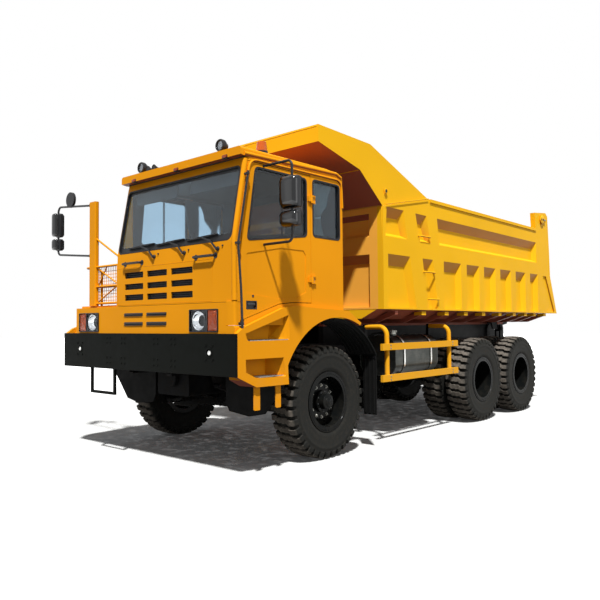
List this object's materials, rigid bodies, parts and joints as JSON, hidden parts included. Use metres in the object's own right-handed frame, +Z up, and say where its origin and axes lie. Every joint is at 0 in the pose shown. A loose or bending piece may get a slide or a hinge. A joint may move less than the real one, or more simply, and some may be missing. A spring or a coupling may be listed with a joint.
{
  "type": "mining dump truck",
  "caption": "Off-highway rear tipping haul truck with an offset cab, railed platform, dual-wheel tandem rear axles, a tilting bed with canopy and a top-hinged tailgate.",
  "frame": {"origin": "on the ground in the middle of the truck's length and width", "axes": "+Y to the truck's rear, +X to its left, +Z up"},
  "size_m": [4.36, 9.11, 4.0448],
  "materials": {
    "cab_paint": "gloss orange-yellow enamel",
    "bed_paint": "gloss yellow enamel",
    "charcoal_paint": "satin charcoal",
    "frame_paint": "satin black",
    "rim_paint": "gloss black",
    "tyre": "dull dark grey rubber",
    "guard_rubber": "matt black",
    "tank_metal": "brushed",
    "glass": "lightly tinted",
    "lamp": "clear lamp",
    "black_plastic": "black housing",
    "engine_metal": "painted casting",
    "trim_plastic": "grained grey",
    "seat_fabric": "woven grey",
    "rod_chrome": "polished rod"
  },
  "bodies": {
    "truck": {"chassis_rails": "frame_paint", "chassis_crossmembers": "frame_paint", "chassis_brackets": "frame_paint", "chassis_tail": "frame_paint", "front_bumper": "charcoal_paint", "front_panel": "cab_paint", "headlamps": "lamp", "cab_shell": "cab_paint", "grille_hatch": "cab_paint", "cab_roof": "cab_paint", "cab_glass": "glass", "left_step_box": "cab_paint", "right_step_box": "cab_paint", "mudguards": "guard_rubber", "platform_deck": "cab_paint", "platform_railing": "cab_paint", "right_mirror": "black_plastic", "roof_lamps": "black_plastic", "dashboard": "trim_plastic", "seats": "seat_fabric", "steering_wheel": "trim_plastic", "engine": "engine_metal", "front_axle": "frame_paint", "front_springs": "frame_paint", "tandem_axles": "frame_paint", "rear_suspension": "frame_paint", "drive_shafts": "frame_paint", "fuel_tank": "tank_metal", "oil_tank": "frame_paint", "side_guards": "bed_paint"},
    "left_knuckle": {"left_knuckle": "frame_paint"},
    "right_knuckle": {"right_knuckle": "frame_paint"},
    "front_left_wheel": {"front_left_tyre": "tyre", "front_left_rim": "rim_paint"},
    "front_right_wheel": {"front_right_tyre": "tyre", "front_right_rim": "rim_paint"},
    "middle_left_wheels": {"middle_left_tyres": "tyre", "middle_left_rims": "rim_paint"},
    "middle_right_wheels": {"middle_right_tyres": "tyre", "middle_right_rims": "rim_paint"},
    "rear_left_wheels": {"rear_left_tyres": "tyre", "rear_left_rims": "rim_paint"},
    "rear_right_wheels": {"rear_right_tyres": "tyre", "rear_right_rims": "rim_paint"},
    "bed": {"bed_floor": "bed_paint", "bed_sides": "bed_paint", "bed_front_wall": "bed_paint", "bed_canopy": "bed_paint"},
    "tailgate": {"tailgate": "bed_paint"},
    "hoist_barrels": {"hoist_barrels": "frame_paint"},
    "hoist_rods": {"hoist_rods": "rod_chrome"},
    "left_door": {"left_door": "cab_paint", "left_door_glass": "glass", "left_mirror": "black_plastic"},
    "right_door": {"right_door": "cab_paint", "right_door_glass": "glass"}
  },
  "joints": [
    {"name": "left_steer", "type": "hinge", "parent": "truck", "child": "left_knuckle", "pos_m": [1.184, -2.875, 0.685], "axis": [0, 0, 1], "range_deg": [-32, 32]},
    {"name": "right_steer", "type": "hinge", "parent": "truck", "child": "right_knuckle", "pos_m": [-1.184, -2.875, 0.685], "axis": [0, 0, 1], "range_deg": [-32, 32]},
    {"name": "front_left_spin", "type": "hinge", "parent": "left_knuckle", "child": "front_left_wheel", "pos_m": [1.384, -2.875, 0.685], "axis": [1, 0, 0], "continuous": true},
    {"name": "front_right_spin", "type": "hinge", "parent": "right_knuckle", "child": "front_right_wheel", "pos_m": [-1.384, -2.875, 0.685], "axis": [1, 0, 0], "continuous": true},
    {"name": "middle_left_spin", "type": "hinge", "parent": "truck", "child": "middle_left_wheels", "pos_m": [1.216, 1.125, 0.685], "axis": [1, 0, 0], "continuous": true},
    {"name": "middle_right_spin", "type": "hinge", "parent": "truck", "child": "middle_right_wheels", "pos_m": [-1.216, 1.125, 0.685], "axis": [1, 0, 0], "continuous": true},
    {"name": "rear_left_spin", "type": "hinge", "parent": "truck", "child": "rear_left_wheels", "pos_m": [1.216, 2.655, 0.685], "axis": [1, 0, 0], "continuous": true},
    {"name": "rear_right_spin", "type": "hinge", "parent": "truck", "child": "rear_right_wheels", "pos_m": [-1.216, 2.655, 0.685], "axis": [1, 0, 0], "continuous": true},
    {"name": "bed_tilt", "type": "hinge", "parent": "truck", "child": "bed", "pos_m": [0, 3.875, 1.5], "axis": [-1, 0, 0], "range_deg": [0, 48]},
    {"name": "tailgate_swing", "type": "hinge", "parent": "bed", "child": "tailgate", "pos_m": [0, 3.825, 3.66], "axis": [1, 0, 0], "range_deg": [0, 60]},
    {"name": "hoist_swing", "type": "hinge", "parent": "truck", "child": "hoist_barrels", "pos_m": [0, -0.175, 0.97], "axis": [1, 0, 0], "range_deg": [0, 23]},
    {"name": "hoist_stroke", "type": "slide", "parent": "hoist_barrels", "child": "hoist_rods", "axis": [0, 0.9763, 0.2165], "range_m": [0, 0.94]},
    {"name": "left_door_hinge", "type": "hinge", "parent": "truck", "child": "left_door", "pos_m": [1.673, -3.3, 2.6], "axis": [0, 0, 1], "range_deg": [0, 70]},
    {"name": "right_door_hinge", "type": "hinge", "parent": "truck", "child": "right_door", "pos_m": [-0.568, -3.3, 2.6], "axis": [0, 0, -1], "range_deg": [0, 70]}
  ],
  "couplings": [
    {"joint": "right_steer", "follows": "left_steer", "ratio": 1},
    {"joint": "hoist_swing", "follows": "bed_tilt", "ratio": 0.4641},
    {"joint": "hoist_stroke", "follows": "bed_tilt", "m_per_rad": 1.1131}
  ]
}
